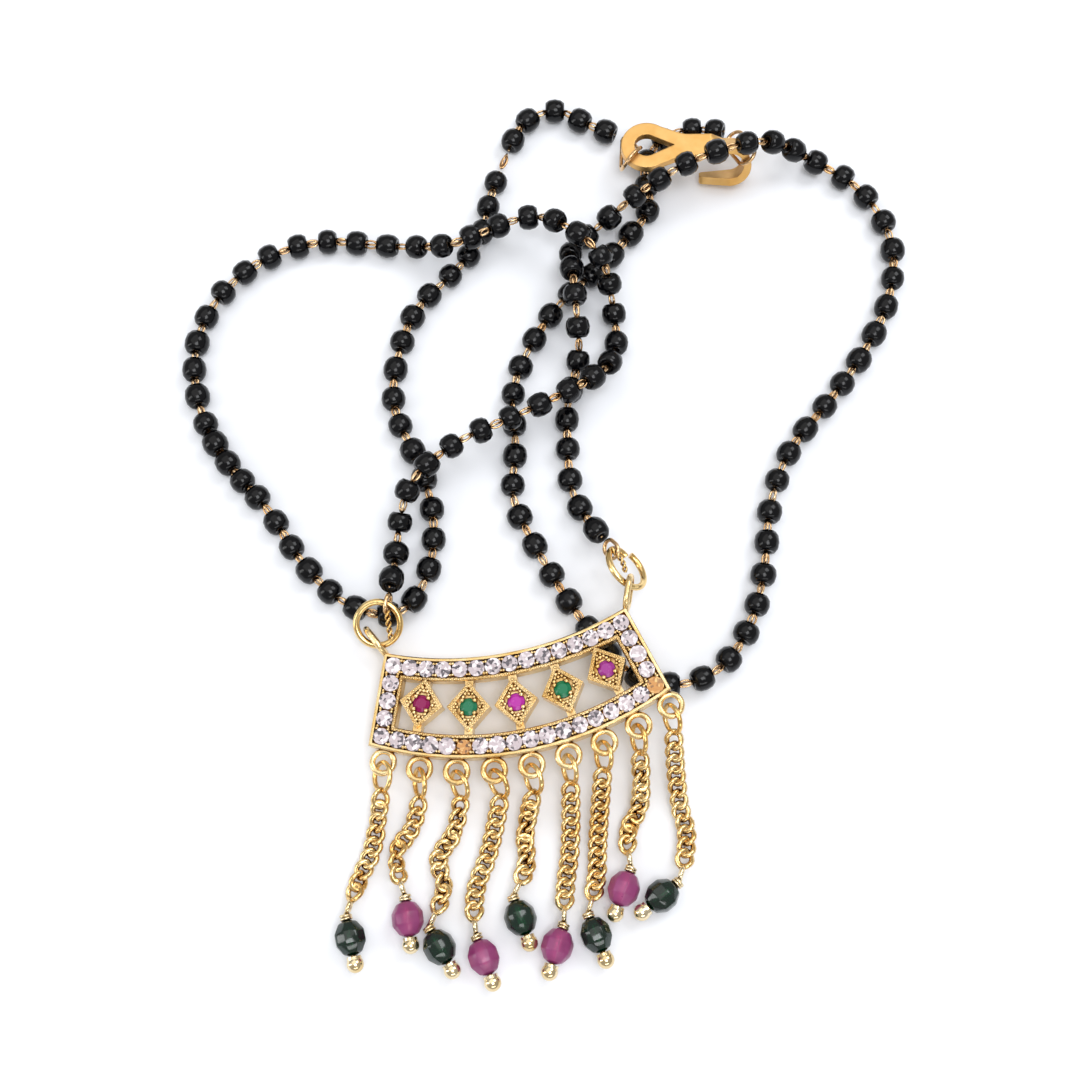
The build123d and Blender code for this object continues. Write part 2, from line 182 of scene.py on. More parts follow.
class Line:
    """Points along a smooth curve, with the distance from its start to each."""

    def __init__(self, corners):
        curve = bpy.data.curves.new("line", "CURVE")
        curve.dimensions = "3D"
        curve.resolution_u = LINE_STEPS
        spline = curve.splines.new("NURBS")
        spline.points.add(len(corners) - 1)
        for point, corner in zip(spline.points, corners):
            point.co = (*corner, 1)
        spline.order_u = 3
        spline.use_endpoint_u = True
        holder = bpy.data.objects.new("line", curve)
        bpy.context.collection.objects.link(holder)
        mesh = bpy.data.meshes.new_from_object(holder)
        self.points = [vertex.co.copy() for vertex in mesh.vertices]
        bpy.data.objects.remove(holder)
        bpy.data.curves.remove(curve)
        bpy.data.meshes.remove(mesh)
        self.distances = [0.0]
        for before, after in zip(self.points, self.points[1:]):
            self.distances.append(self.distances[-1] + (after - before).length)
        self.length = self.distances[-1]

    def at(self, distance):
        """Give the point and the direction at a distance along the line."""
        last = len(self.points) - 2
        index = 0
        while index < last and self.distances[index + 1] < distance:
            index += 1
        before, after = self.points[index], self.points[index + 1]
        run = self.distances[index + 1] - self.distances[index]
        share = (distance - self.distances[index]) / run
        return before.lerp(after, share), (after - before).normalized()

    def nearest(self, place):
        """Give the distance along the line of its point nearest to a place."""
        index = min(range(len(self.points)), key=lambda i: (self.points[i] - place).length)
        return self.distances[index]

    def place(self, distance, roll=0.0, scale=(1, 1, 1)):
        """Give the matrix that sets a shape on the line: its X along it, turned by a roll."""
        point, along = self.at(distance)
        return frame_at(point, along) @ Matrix.Rotation(roll, 4, "X") @ Matrix.Diagonal((*scale, 1))


UP = Vector((0, 0, 1))


def frame_at(point, along):
    """Give the matrix with its X along a direction and its Z as near up as it can be."""
    along = along.normalized()
    side = UP.cross(along).normalized()
    rise = along.cross(side)
    turn = Matrix((along, side, rise)).transposed().to_4x4()
    return Matrix.Translation(point) @ turn


# %% [markdown]
# ## Colour and nodes
# Colours are written as the hex values that a paint program shows. Shaders want linear light, so one
# function turns the hex into that. One more function adds a node, sets it and links it. The Mix node
# has sockets for every kind of value under the same names, so its colours are found by number.

# %% Colour and node helpers
MIX_FIRST, MIX_SECOND, MIX_RESULT = 6, 7, 2


def linear(hex_colour):
    """Turn an sRGB hex value into linear light."""
    channels = []
    for start in (1, 3, 5):
        value = int(hex_colour[start:start + 2], 16) / 255
        channels.append(value / 12.92 if value <= 0.04045 else ((value + 0.055) / 1.055) ** 2.4)
    return (*channels, 1.0)


def add_node(tree, kind, settings=None, links=None):
    """Add a node, set its sockets and options, and link its inputs."""
    node = tree.nodes.new(kind)
    for name, value in (settings or {}).items():
        if name in node.inputs:
            node.inputs[name].default_value = value
        else:
            setattr(node, name, value)
    for name, source in (links or {}).items():
        tree.links.new(source, node.inputs[name])
    return node


def new_material(name):
    material = bpy.data.materials.new(name)
    material.use_nodes = True
    material.node_tree.nodes.clear()
    return material, material.node_tree


def finish_material(tree, shader):
    add_node(tree, "ShaderNodeOutputMaterial", links={"Surface": shader.outputs[0]})


def per_metre(size):
    """Give the noise scale whose features are about one size across, in millimetres."""
    return 1 / (size * MM)


# %% [markdown]
# ## Gold plated brass
# The metal parts are brass with a thin gold plating. Cast parts keep a fine sandy grain, drawn wire is
# smoother, and a handled clasp is matt. Each gold mixes two tones by a soft noise, takes painted shade,
# a brown shadow tone, where surfaces meet, and has its own grain. A
# Bevel node makes its sharp edges catch the light as if they were melted a little.

# %% Gold plating
def plated_gold(name, bright, worn, shadow, roughness, grain, depth, shade_reach=0.5, edge=0.05):
    """Gold plated brass, with painted shade in its corners. Grain, depth, the reach of that shade and
    the rounding of edges are in millimetres.
    """
    material, tree = new_material(name)
    place = add_node(tree, "ShaderNodeTexCoord").outputs["Object"]
    patches = add_node(tree, "ShaderNodeTexNoise",
                       {"Scale": per_metre(3.5), "Detail": 3.0, "Roughness": 0.6}, {"Vector": place})
    patch_share = add_node(tree, "ShaderNodeMapRange",
                           {"From Min": 0.35, "From Max": 0.7}, {"Value": patches.outputs["Fac"]})
    tone = add_node(tree, "ShaderNodeMix", {"data_type": "RGBA"},
                    {"Factor": patch_share.outputs["Result"]})
    tone.inputs[MIX_FIRST].default_value = linear(bright)
    tone.inputs[MIX_SECOND].default_value = linear(worn)
    # Painted shade: ambient occlusion turns the colour to the shadow tone in corners and gaps
    corners = add_node(tree, "ShaderNodeAmbientOcclusion", {"Distance": shade_reach * MM, "samples": 6})
    painted_shade_share = add_node(tree, "ShaderNodeMapRange",
                            {"From Min": 0.35, "From Max": 0.85}, {"Value": corners.outputs["AO"]})
    colour = add_node(tree, "ShaderNodeMix", {"data_type": "RGBA"},
                      {"Factor": painted_shade_share.outputs["Result"]})
    colour.inputs[MIX_FIRST].default_value = linear(shadow)
    tree.links.new(tone.outputs[MIX_RESULT], colour.inputs[MIX_SECOND])
    handling = add_node(tree, "ShaderNodeTexNoise",
                        {"Scale": per_metre(0.6), "Detail": 2.0}, {"Vector": place})
    gloss = add_node(tree, "ShaderNodeMapRange",
                     {"To Min": roughness * 0.7, "To Max": roughness * 1.35},
                     {"Value": handling.outputs["Fac"]})
    sand = add_node(tree, "ShaderNodeTexNoise",
                    {"Scale": per_metre(grain), "Detail": 2.0}, {"Vector": place})
    melted = add_node(tree, "ShaderNodeBevel", {"Radius": edge * MM, "samples": 4})
    surface = add_node(tree, "ShaderNodeBump", {"Strength": 1.0, "Distance": depth * MM},
                       {"Height": sand.outputs["Fac"], "Normal": melted.outputs["Normal"]})
    shader = add_node(tree, "ShaderNodeBsdfPrincipled", {"Metallic": 1.0}, {
        "Base Color": colour.outputs[MIX_RESULT],
        "Roughness": gloss.outputs["Result"],
        "Normal": surface.outputs["Normal"],
    })
    finish_material(tree, shader)
    return material


# Lost wax casting, plated pale yellow: bright edges, sandy between the stones
cast_gold = plated_gold("cast_gold_plated_brass", "#F9DFAA", "#E3BA72", "#80500F",
                        roughness=0.24, grain=0.4, depth=0.035, edge=0.12)
# Drawn wire, plated yellow: smooth with long highlights
wire_gold = plated_gold("drawn_gold_plated_wire", "#F5D798", "#DDAE60", "#75460C",
                        roughness=0.17, grain=0.9, depth=0.008)
# Stamped sheet, handled every day: an even tan satin
sheet_gold = plated_gold("satin_gold_plated_sheet", "#EFC37E", "#DDAA60", "#855012",
                         roughness=0.38, grain=0.5, depth=0.006, shade_reach=0.8, edge=0.2)
# Thin eye pins between the beads: the plating has worn to a duller tan
link_gold = plated_gold("worn_plated_wire", "#F0D0A4", "#D0A26C", "#6E4620",
                        roughness=0.2, grain=0.6, depth=0.006)
# Curb chain, tumbled bright: rich yellow, with painted brown shade between the links
curb_gold = plated_gold("tumbled_curb_chain_gold", "#F4D89E", "#DDAF64", "#683C08",
                        roughness=0.18, grain=0.8, depth=0.008, shade_reach=0.7)
# Balls and collars at the fringe beads: a paler bath, closer to champagne
pale_gold = plated_gold("champagne_plated_wire", "#F4E4C0", "#D9BE88", "#6B4A1E",
                        roughness=0.16, grain=0.9, depth=0.006)
print("golds made")

# %% [markdown]
# ## Glass
# The seed beads are opaque black glass, tumbled, so they shine softly and never evenly. The fringe
# beads are clear coloured glass, cut and then fire polished, which leaves facets with melted edges.
# The small clear stones flash, so painted reflections stand for their back facets: patches of 0.3 mm
# in their colour, some bright and a few dark. The coloured centre stones have a flat top that shows
# almost one colour.

# %% Glass and stones
def black_seed_glass():
    """Opaque black glass: a wet shine that varies from bead to bead."""
    material, tree = new_material("tumbled_black_glass")
    place = add_node(tree, "ShaderNodeTexCoord").outputs["Object"]
    batch = add_node(tree, "ShaderNodeTexNoise",
                     {"Scale": per_metre(4.0), "Detail": 1.0}, {"Vector": place})
    gloss = add_node(tree, "ShaderNodeMapRange", {"To Min": 0.06, "To Max": 0.24},
                     {"Value": batch.outputs["Fac"]})
    skin = add_node(tree, "ShaderNodeTexNoise",
                    {"Scale": per_metre(0.9), "Detail": 2.0}, {"Vector": place})
    surface = add_node(tree, "ShaderNodeBump", {"Strength": 1.0, "Distance": 0.03 * MM},
                       {"Height": skin.outputs["Fac"]})
    tint = add_node(tree, "ShaderNodeMix", {"data_type": "RGBA"}, {"Factor": batch.outputs["Fac"]})
    tint.inputs[MIX_FIRST].default_value = linear("#010102")
    tint.inputs[MIX_SECOND].default_value = linear("#07080C")
    shader = add_node(tree, "ShaderNodeBsdfPrincipled", {"IOR": 1.52, "Specular IOR Level": 0.25}, {
        "Base Color": tint.outputs[MIX_RESULT],
        "Roughness": gloss.outputs["Result"],
        "Normal": surface.outputs["Normal"],
    })
    finish_material(tree, shader)
    return material


def coloured_glass(name, light, deep, roughness, transmission):
    """Clear coloured glass, lighter where the batch is thin."""
    material, tree = new_material(name)
    place = add_node(tree, "ShaderNodeTexCoord").outputs["Object"]
    streaks = add_node(tree, "ShaderNodeTexNoise",
                       {"Scale": per_metre(2.0), "Detail": 2.0}, {"Vector": place})
    tint = add_node(tree, "ShaderNodeMix", {"data_type": "RGBA"}, {"Factor": streaks.outputs["Fac"]})
    tint.inputs[MIX_FIRST].default_value = linear(light)
    tint.inputs[MIX_SECOND].default_value = linear(deep)
    pits = add_node(tree, "ShaderNodeTexNoise",
                    {"Scale": per_metre(0.5), "Detail": 2.0}, {"Vector": place})
    gloss = add_node(tree, "ShaderNodeMapRange",
                     {"To Min": roughness * 0.6, "To Max": roughness * 1.4},
                     {"Value": pits.outputs["Fac"]})
    shader = add_node(tree, "ShaderNodeBsdfPrincipled",
                      {"IOR": 1.52, "Transmission Weight": transmission, "Coat Weight": 0.15,
                       "Coat Roughness": 0.05},
                      {"Base Color": tint.outputs[MIX_RESULT], "Roughness": gloss.outputs["Result"]})
    finish_material(tree, shader)
    return material


def centre_stone(name, colour):
    """A coloured stone. A fine haze of scratches keeps its table from being a perfect mirror."""
    material, tree = new_material(name)
    place = add_node(tree, "ShaderNodeTexCoord").outputs["Object"]
    haze = add_node(tree, "ShaderNodeTexNoise",
                    {"Scale": per_metre(0.4), "Detail": 2.0}, {"Vector": place})
    gloss = add_node(tree, "ShaderNodeMapRange",
                     {"To Min": 0.12, "To Max": 0.36}, {"Value": haze.outputs["Fac"]})
    shader = add_node(tree, "ShaderNodeBsdfPrincipled", {"Base Color": linear(colour), "IOR": 1.5},
                      {"Roughness": gloss.outputs["Result"]})
    finish_material(tree, shader)
    return material


def brilliant_stone(name, light, flash, dark):
    """A clear stone with painted reflections: its back facets show as small patches, most bright, a few
    quite dark.
    """
    material, tree = new_material(name)
    place = add_node(tree, "ShaderNodeTexCoord").outputs["Object"]
    # Painted reflections: Voronoi cells set bright, flashing and dark facet colours into the base colour
    facets = add_node(tree, "ShaderNodeTexVoronoi", {"Scale": per_metre(0.3)}, {"Vector": place})
    parts = add_node(tree, "ShaderNodeSeparateColor", links={"Color": facets.outputs["Color"]})
    painted_dark_share = add_node(tree, "ShaderNodeMapRange", {"From Min": 0.14, "From Max": 0.34},
                          {"Value": parts.outputs["Red"]})
    painted_flash_share = add_node(tree, "ShaderNodeMapRange", {"From Min": 0.45, "From Max": 0.85},
                           {"Value": parts.outputs["Green"]})
    bright = add_node(tree, "ShaderNodeMix", {"data_type": "RGBA"},
                      {"Factor": painted_flash_share.outputs["Result"]})
    bright.inputs[MIX_FIRST].default_value = linear(light)
    bright.inputs[MIX_SECOND].default_value = linear(flash)
    colour = add_node(tree, "ShaderNodeMix", {"data_type": "RGBA"},
                      {"Factor": painted_dark_share.outputs["Result"]})
    colour.inputs[MIX_FIRST].default_value = linear(dark)
    tree.links.new(bright.outputs[MIX_RESULT], colour.inputs[MIX_SECOND])
    turned = add_node(tree, "ShaderNodeBump", {"Strength": 1.0, "Distance": 0.12 * MM},
                      {"Height": parts.outputs["Blue"]})
    shader = add_node(tree, "ShaderNodeBsdfPrincipled",
                      {"Metallic": 0.3, "IOR": 2.15, "Roughness": 0.1},
                      {"Base Color": colour.outputs[MIX_RESULT], "Normal": turned.outputs["Normal"]})
    finish_material(tree, shader)
    return material


seed_glass = black_seed_glass()
pink_glass = coloured_glass("fire_polished_pink_glass", "#CC62A6", "#861A60", 0.36, 0.5)
green_glass = coloured_glass("fire_polished_green_glass", "#044029", "#010D10", 0.12, 0.7)
clear_stone = brilliant_stone("clear_zirconia", "#C2B4BA", "#F4ECF0", "#453E4A")
amber_stone = brilliant_stone("zirconia_in_old_glue", "#C98A3C", "#F0C27A", "#6E4214")
print("glass and stones made")

# %% [markdown]
# ## Finishes for the CAD parts
# Single metal parts keep their CAD shape and only get a better material.

# %% Finishes on CAD nodes
def finish_node(name, material):
    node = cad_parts[name]
    node.data.materials.clear()
    node.data.materials.append(material)


FRINGE = range(1, 10)
finish_node("pendant_frame", cast_gold)
for name in ("jump_ring_left", "jump_ring_right"):
    finish_node(name, wire_gold)
finish_node("clasp_hook", sheet_gold)
for name in ("end_loop_clasp", "end_loop_hook", "end_loop_left_ring", "end_loop_right_ring"):
    finish_node(name, link_gold)
for number in FRINGE:
    finish_node(f"tassel_ring_{number}", wire_gold)
    finish_node(f"head_pin_{number}", pale_gold)

centre_colours = ("#86004E", "#12704C", "#AE289C", "#007048", "#983088")
for number, colour in enumerate(centre_colours, start=1):
    finish_node(f"centre_stone_{number}", centre_stone(f"centre_stone_glass_{number}", colour))
print("CAD nodes finished")

# %% [markdown]
# ## The string of black beads
# Each bead sits on its own short wire, and each wire ends in a small loop that hooks the next one. So
# the string bends only between beads. The two halves of the string follow the routes of the CAD
# strands, and each CAD span is replaced by the beads that lie in it.

# %% Routes of the two halves
FLOOR = 1.5
OVER = 4.7
left_route = [mm(*corner) for corner in (
    (8.3, 47.0, 1.6), (4.4, 48.6, FLOOR), (1.2, 51.0, FLOOR), (-3.2, 49.2, FLOOR), (-5.2, 43.8, FLOOR),
    (-7.0, 38.6, FLOOR), (-7.8, 33.0, FLOOR), (-11.2, 28.4, FLOOR), (-15.6, 24.0, FLOOR),
    (-17.5, 17.6, FLOOR), (-17.9, 11.4, FLOOR), (-14.5, 5.0, FLOOR), (-12.6, -1.4, FLOOR),
    (-12.9, -8.0, FLOOR), (-16.0, -13.2, FLOOR), (-22.0, -12.0, FLOOR), (-27.2, -7.0, FLOOR),
    (-31.2, -0.4, FLOOR), (-36.4, 5.0, FLOOR), (-39.8, 11.4, FLOOR), (-41.0, 18.8, FLOOR),
    (-38.6, 25.8, FLOOR), (-33.0, 31.0, FLOOR), (-26.4, 33.0, FLOOR), (-20.0, 32.2, FLOOR),
    (-15.6, 31.6, 2.2), (-11.2, 30.4, OVER), (-5.2, 33.4, OVER), (-1.6, 34.7, 4.2), (1.5, 32.6, 6.4),
    (6.3, 28.6, 6.4), (7.5, 24.0, 1.7), (8.0, 18.6, FLOOR), (5.8, 14.3, OVER), (0.2, 11.2, OVER),
    (-5.6, 8.4, OVER), (-10.4, 6.2, OVER), (-15.4, 1.8, OVER), (-16.6, -3.0, 2.2), (-16.8, -7.4, 2.4),
    (-17.2, -10.6, 4.3),
)]
right_route = [mm(*corner) for corner in (
    (21.4, 46.9, 2.5), (17.8, 48.3, FLOOR), (13.2, 46.6, FLOOR), (11.0, 42.0, FLOOR),
    (12.6, 37.6, FLOOR),
    (9.2, 33.0, FLOOR), (5.4, 28.6, FLOOR), (1.4, 25.0, FLOOR), (-2.2, 19.4, FLOOR), (-4.4, 13.4, FLOOR),
    (-3.6, 7.4, FLOOR), (-4.3, 0.8, FLOOR), (-2.2, -3.7, FLOOR), (0.6, -8.8, FLOOR), (3.8, -13.8, FLOOR),
    (7.8, -18.8, FLOOR), (12.6, -21.0, FLOOR), (18.4, -19.2, FLOOR), (22.0, -14.0, FLOOR),
    (23.8, -7.2, FLOOR), (24.3, -0.6, FLOOR), (26.7, 6.3, FLOOR), (31.5, 11.9, FLOOR),
    (36.2, 18.2, FLOOR), (39.9, 25.4, FLOOR), (40.8, 33.2, FLOOR), (37.2, 40.1, FLOOR),
    (31.8, 43.5, FLOOR), (28.2, 43.8, 4.4), (24.6, 42.8, 7.5), (18.0, 40.8, 7.4), (13.4, 39.0, 5.8),
    (9.6, 36.6, OVER), (5.6, 34.2, 1.8), (2.6, 31.8, FLOOR), (2.5, 28.8, 4.1), (2.8, 26.4, 5.1),
    (3.2, 21.6, OVER), (3.6, 17.4, FLOOR), (2.0, 12.4, FLOOR), (2.1, 6.4, FLOOR), (2.4, 1.4, FLOOR),
    (4.3, -2.2, 2.1), (5.9, -4.6, 3.3),
)]
# The corners after which each half's next CAD span starts
LEFT_CUTS = (9, 18, 27, 34)
RIGHT_CUTS = (9, 18, 27, 36)
left_line, right_line = Line(left_route), Line(right_route)
print(f"halves: {left_line.length / MM:.0f} mm and {right_line.length / MM:.0f} mm")

# %% [markdown]
# ### One seed bead and one wire loop
# A seed bead is a cut length of glass tube, melted round: a torus, stretched along its hole. The wire
# loop is a thin torus, and the wire through the bead is a plain pin. All three lie along X and have
# few faces, because there are hundreds of them.

# %% Templates for the string
BEAD_DIAMETER = 2.94
BEAD_LENGTH = 2.36
BEAD_WALL = 1.32
LOOP_WIRE = 0.26
LOOP_WIDE = 1.12
LOOP_BURIED = 0.7
LOOP_LONGEST = 2.0
LOOPS_APART = 0.16

bead_template = start_piece(
    bpy.ops.mesh.primitive_torus_add, major_segments=14, minor_segments=10,
    major_radius=(BEAD_DIAMETER - BEAD_WALL) / 2 * MM, minor_radius=BEAD_WALL / 2 * MM,
    rotation=(0, pi / 2, 0))
bpy.ops.object.transform_apply(location=False, rotation=True, scale=False)
stretch(bead_template, (BEAD_LENGTH / BEAD_WALL, 1, 1))
shade(bead_template)

loop_template = start_piece(
    bpy.ops.mesh.primitive_torus_add, major_segments=12, minor_segments=5,
    major_radius=(LOOP_WIDE - LOOP_WIRE) / 2 * MM, minor_radius=LOOP_WIRE / 2 * MM)
shade(loop_template)

pin_template = start_piece(
    bpy.ops.mesh.primitive_cylinder_add, vertices=6, radius=LOOP_WIRE / 2 * MM, depth=MM,
    rotation=(0, pi / 2, 0))
bpy.ops.object.transform_apply(location=False, rotation=True, scale=False)
shade(pin_template, 40)

# %% [markdown]
# ### Beads along the string
# The gaps are almost even. A few differ: one wire near the clasp is pulled long, and where the left
# loop turns its beads crowd together. The wire loops have a greatest length, so in the long gap they
# stop short of their beads. Each gap has a weight, and the weights are scaled so that the beads fill
# the half from end to end. Sizes and turns vary a little, from a seeded draw.

# %% Beads, loops and pins
draw = random.Random(7)
END_MARGIN = 1.5 * MM


def bead_distances(line, count, odd_gaps):
    """Spread the beads along a line, with wider or narrower gaps after some of them."""
    weights = [odd_gaps.get(index, 1.0) * draw.uniform(0.94, 1.06) for index in range(count - 1)]
    unit = (line.length - 2 * END_MARGIN) / sum(weights)
    distances = [END_MARGIN]
    for weight in weights:
        distances.append(distances[-1] + weight * unit)
    print(f"{count} beads, {unit / MM:.2f} mm apart")
    return distances


def string_half(side, line, route, cuts, count, odd_gaps):
    """Lay the beads and wire loops of one half, one set for each CAD span."""
    distances = bead_distances(line, count, odd_gaps)
    edges = [line.nearest((route[cut] + route[cut + 1]) / 2) for cut in cuts]
    beads, loops = {}, {}
    for index, distance in enumerate(distances):
        span = 1 + sum(distance > edge for edge in edges)
        across = draw.uniform(0.93, 1.0)
        along = draw.uniform(0.9, 1.06)
        beads.setdefault(span, []).append(
            line.place(distance, draw.uniform(0, pi), (along, across, across)))
        if index + 1 == len(distances):
            continue
        gap = distances[index + 1] - distance - BEAD_LENGTH * MM
        middle = (distances[index + 1] + distance) / 2
        long_side = min(gap + LOOP_BURIED * MM, LOOP_LONGEST * MM)
        offset = min(LOOPS_APART * MM, gap / 8)
        roll = draw.choice((0, pi / 2)) + draw.uniform(-0.6, 0.6)
        for turn, way in ((roll, -1), (roll + pi / 2, 1)):
            loops.setdefault(span, []).append(line.place(
                middle + way * offset, turn, (long_side / (LOOP_WIDE * MM), draw.uniform(0.8, 1.0), 1)))
    for span in beads:
        string = lay_copies(bead_template, beads[span], f"seed_beads_{side}_{span}")
        add_piece(string, seed_glass, "black_beads", f"strand_{side}_{span}")
        wires = lay_copies(loop_template, loops[span], f"wire_loops_{side}_{span}")
        add_piece(wires, link_gold, "link_gold")
    return distances


LONG_WIRE = 1.7
CROWDED = 0.78
left_odd = {4: LONG_WIRE, 28: CROWDED, 29: CROWDED, 30: CROWDED, 31: CROWDED}
left_beads = string_half("left", left_line, left_route, LEFT_CUTS, 67, left_odd)
right_beads = string_half("right", right_line, right_route, RIGHT_CUTS, 66, {0: CROWDED})


# %% Pins through the beads
PIN_SHORT = 0.9


def string_pins(side, line, distances):
    """Lay the straight wire that runs through each bead. An end bead's pin stays inside it."""
    places = []
    neighbours = [0.0, *distances, line.length]
    for before, distance, after in zip(neighbours, distances, neighbours[2:]):
        start, end = (before + distance) / 2, (after + distance) / 2
        # the loops take the middle of each gap, so the pin stops short of them
        reach = max(BEAD_LENGTH / 2 * MM, (end - start) / 2 - PIN_SHORT * MM)
        places.append(line.place(distance, 0, (2 * reach / MM, 1, 1)))
    pins = lay_copies(pin_template, places, f"bead_pins_{side}")
    add_piece(pins, link_gold, "link_gold")


string_pins("left", left_line, left_beads)
string_pins("right", right_line, right_beads)
for template in (bead_template, loop_template, pin_template):
    drop_template(template)

# %% [markdown]
# ### Twisted tails
# Two wire ends hang from the rings, where the stringer wound two wires round each other and cut them.
# Each is a round wire swept along a spiral about its line, and the second starts half a turn later.

# %% Twisted tails
TAIL_WIRE = 0.3
TAIL_SPIRAL = 0.2
TAIL_TURN = 1.35
TAIL_STEPS = 8


def sweep_wire(points, diameter, name):
    """Sweep a round wire along points, as a bevelled curve that becomes a mesh."""
    wire = start_piece(bpy.ops.curve.primitive_nurbs_path_add)
    curve = wire.data
    curve.splines.clear()
    spline = curve.splines.new("NURBS")
    spline.points.add(len(points) - 1)
    for spot, point in zip(spline.points, points):
        spot.co = (*point, 1)
    spline.order_u = 3
    spline.use_endpoint_u = True
    spline.resolution_u = 3
    curve.bevel_depth = diameter / 2 * MM
    curve.bevel_resolution = 1
    curve.use_fill_caps = True
    take(wire)
    bpy.ops.object.convert(target="MESH")
    wire.name = wire.data.name = name
    shade(wire)
    return wire


tails = (
    ("left", (mm(-17.33, -13.1, 4.4), mm(-17.21, -14.26, 4.2), mm(-16.89, -16.08, 3.6))),
    ("right", (mm(6.63, -6.44, 5.3), mm(8.16, -7.46, 4.6), mm(8.17, -8.63, 4.0))),
)
for side, corners in tails:
    line = Line(corners)
    count = round(line.length / (TAIL_TURN * MM) * TAIL_STEPS) + 1
    for strand in (1, 2):
        spiral = []
        for step in range(count):
            turn = 2 * pi * step / TAIL_STEPS + strand * pi
            place = line.place(line.length * step / (count - 1), turn)
            spiral.append(place @ mm(0, TAIL_SPIRAL, 0))
        tail = sweep_wire(spiral, TAIL_WIRE, f"twisted_tail_{side}_{strand}")
        add_piece(tail, wire_gold, "link_gold")
    print(f"twisted tail {side}: {line.length / MM:.1f} mm")

# %% [markdown]
# ## The pendant's stones
# The frame's rails are a channel, paved with clear round stones. They share small prongs, raised from
# the metal between them and pushed over their edges. The pendant leans and is turned on the table, so
# everything on it is made flat round the origin and then moved by one matrix.

# %% The pendant's place and outline
PENDANT = (
    Matrix.Translation(mm(-3.05, -24.55, 2.85))
    @ Matrix.Rotation(radians(9.4), 4, "Z")
    @ Matrix.Rotation(radians(-6.5), 4, "Y")
)
BOTTOM_HALF, TOP_HALF, HEIGHT = 16.15, 13.1, 9.53
BOTTOM_SAG, TOP_SAG = 3.8, 2.47
FRAME_THICK = 1.6
RAIL = 2.5
bottom_radius = (BOTTOM_HALF**2 + BOTTOM_SAG**2) / (2 * BOTTOM_SAG)
top_radius = (TOP_HALF**2 + TOP_SAG**2) / (2 * TOP_SAG)
bottom_centre = bottom_radius - BOTTOM_SAG
top_centre = HEIGHT - TOP_SAG + top_radius


def side_point(inset, radius, centre):
    """Find where the right side's line, moved in, meets an arc about a point on the Y axis."""
    foot = Vector((BOTTOM_HALF, 0))
    way = (Vector((TOP_HALF, HEIGHT)) - foot).normalized()
    foot = foot + Vector((-way.y, way.x)) * inset
    offset = foot - Vector((0, centre))
    along = offset.dot(way)
    root = sqrt(along**2 - offset.length_squared + radius**2)
    nearest = min((-along - root, -along + root), key=abs)
    return foot + way * nearest


def arc_row(radius, centre, end, count):
    """Spread points along an arc, from its mirrored end to its end."""
    reach = asin(end.x / radius)
    for index in range(count):
        angle = reach * (2 * index / (count - 1) - 1)
        yield Vector((radius * sin(angle), centre - radius * cos(angle)))


def outline_rows(inset, top_count, bottom_count, side_count):
    """Give the four rows of points of a line that runs inside the outline."""
    low_radius, high_radius = bottom_radius - inset, top_radius + inset
    low = side_point(inset, low_radius, bottom_centre)
    high = side_point(inset, high_radius, top_centre)
    right = [low.lerp(high, index / (side_count + 1)) for index in range(1, side_count + 1)]
    return {
        "top": list(arc_row(high_radius, top_centre, high, top_count)),
        "bottom": list(arc_row(low_radius, bottom_centre, low, bottom_count)),
        "right": right,
        "left": [Vector((-point.x, point.y)) for point in right],
    }


def on_pendant(point, height, turn=0.0, scale=1.0):
    """Give the place of a shape that lies on the pendant, by a point in its own plane."""
    return (PENDANT @ Matrix.Translation(mm(point.x, point.y, height))
            @ Matrix.Rotation(turn, 4, "Z") @ Matrix.Scale(scale, 4))


# %% [markdown]
# ### A round cut stone
# A small round stone has a flat table, a ring of slanted crown facets and a cone below. A cylinder
# with twelve sides gives the girdle, its top is inset and raised to the table, and its bottom is drawn
# to a point. Shading stays flat, so each facet catches its own light.

# %% Clear stones
STONE = 1.28
STONE_INSET = 1.25
STONE_SIDES = 12
TABLE_INSET, POINT_INSET = 0.2, 0.47


def cut_round(diameter, sides, crown, pavilion, girdle):
    """Model a cut stone whose girdle's top edge is at height zero."""
    stone = start_piece(bpy.ops.mesh.primitive_cylinder_add, vertices=sides,
                        radius=diameter / 2 * MM, depth=girdle * MM,
                        location=(0, 0, -girdle / 2 * MM))
    bpy.ops.object.transform_apply(location=True, rotation=False, scale=False)
    for face in stone.data.polygons:
        face.select = face.normal.z > 0.9
    bpy.ops.object.mode_set(mode="EDIT")
    bpy.ops.mesh.select_mode(type="FACE")
    bpy.ops.mesh.inset(thickness=diameter * TABLE_INSET * MM, depth=crown * MM)
    bpy.ops.transform.rotate(value=pi / sides, orient_axis="Z", center_override=(0, 0, 0))
    bpy.ops.object.mode_set(mode="OBJECT")
    for face in stone.data.polygons:
        face.select = face.normal.z < -0.9
    bpy.ops.object.mode_set(mode="EDIT")
    bpy.ops.mesh.inset(thickness=diameter * POINT_INSET * MM, depth=pavilion * MM)
    bpy.ops.object.mode_set(mode="OBJECT")
    return stone


stone_template = cut_round(STONE, STONE_SIDES, crown=0.24, pavilion=0.64, girdle=0.06)
rows = outline_rows(STONE_INSET, top_count=15, bottom_count=18, side_count=3)
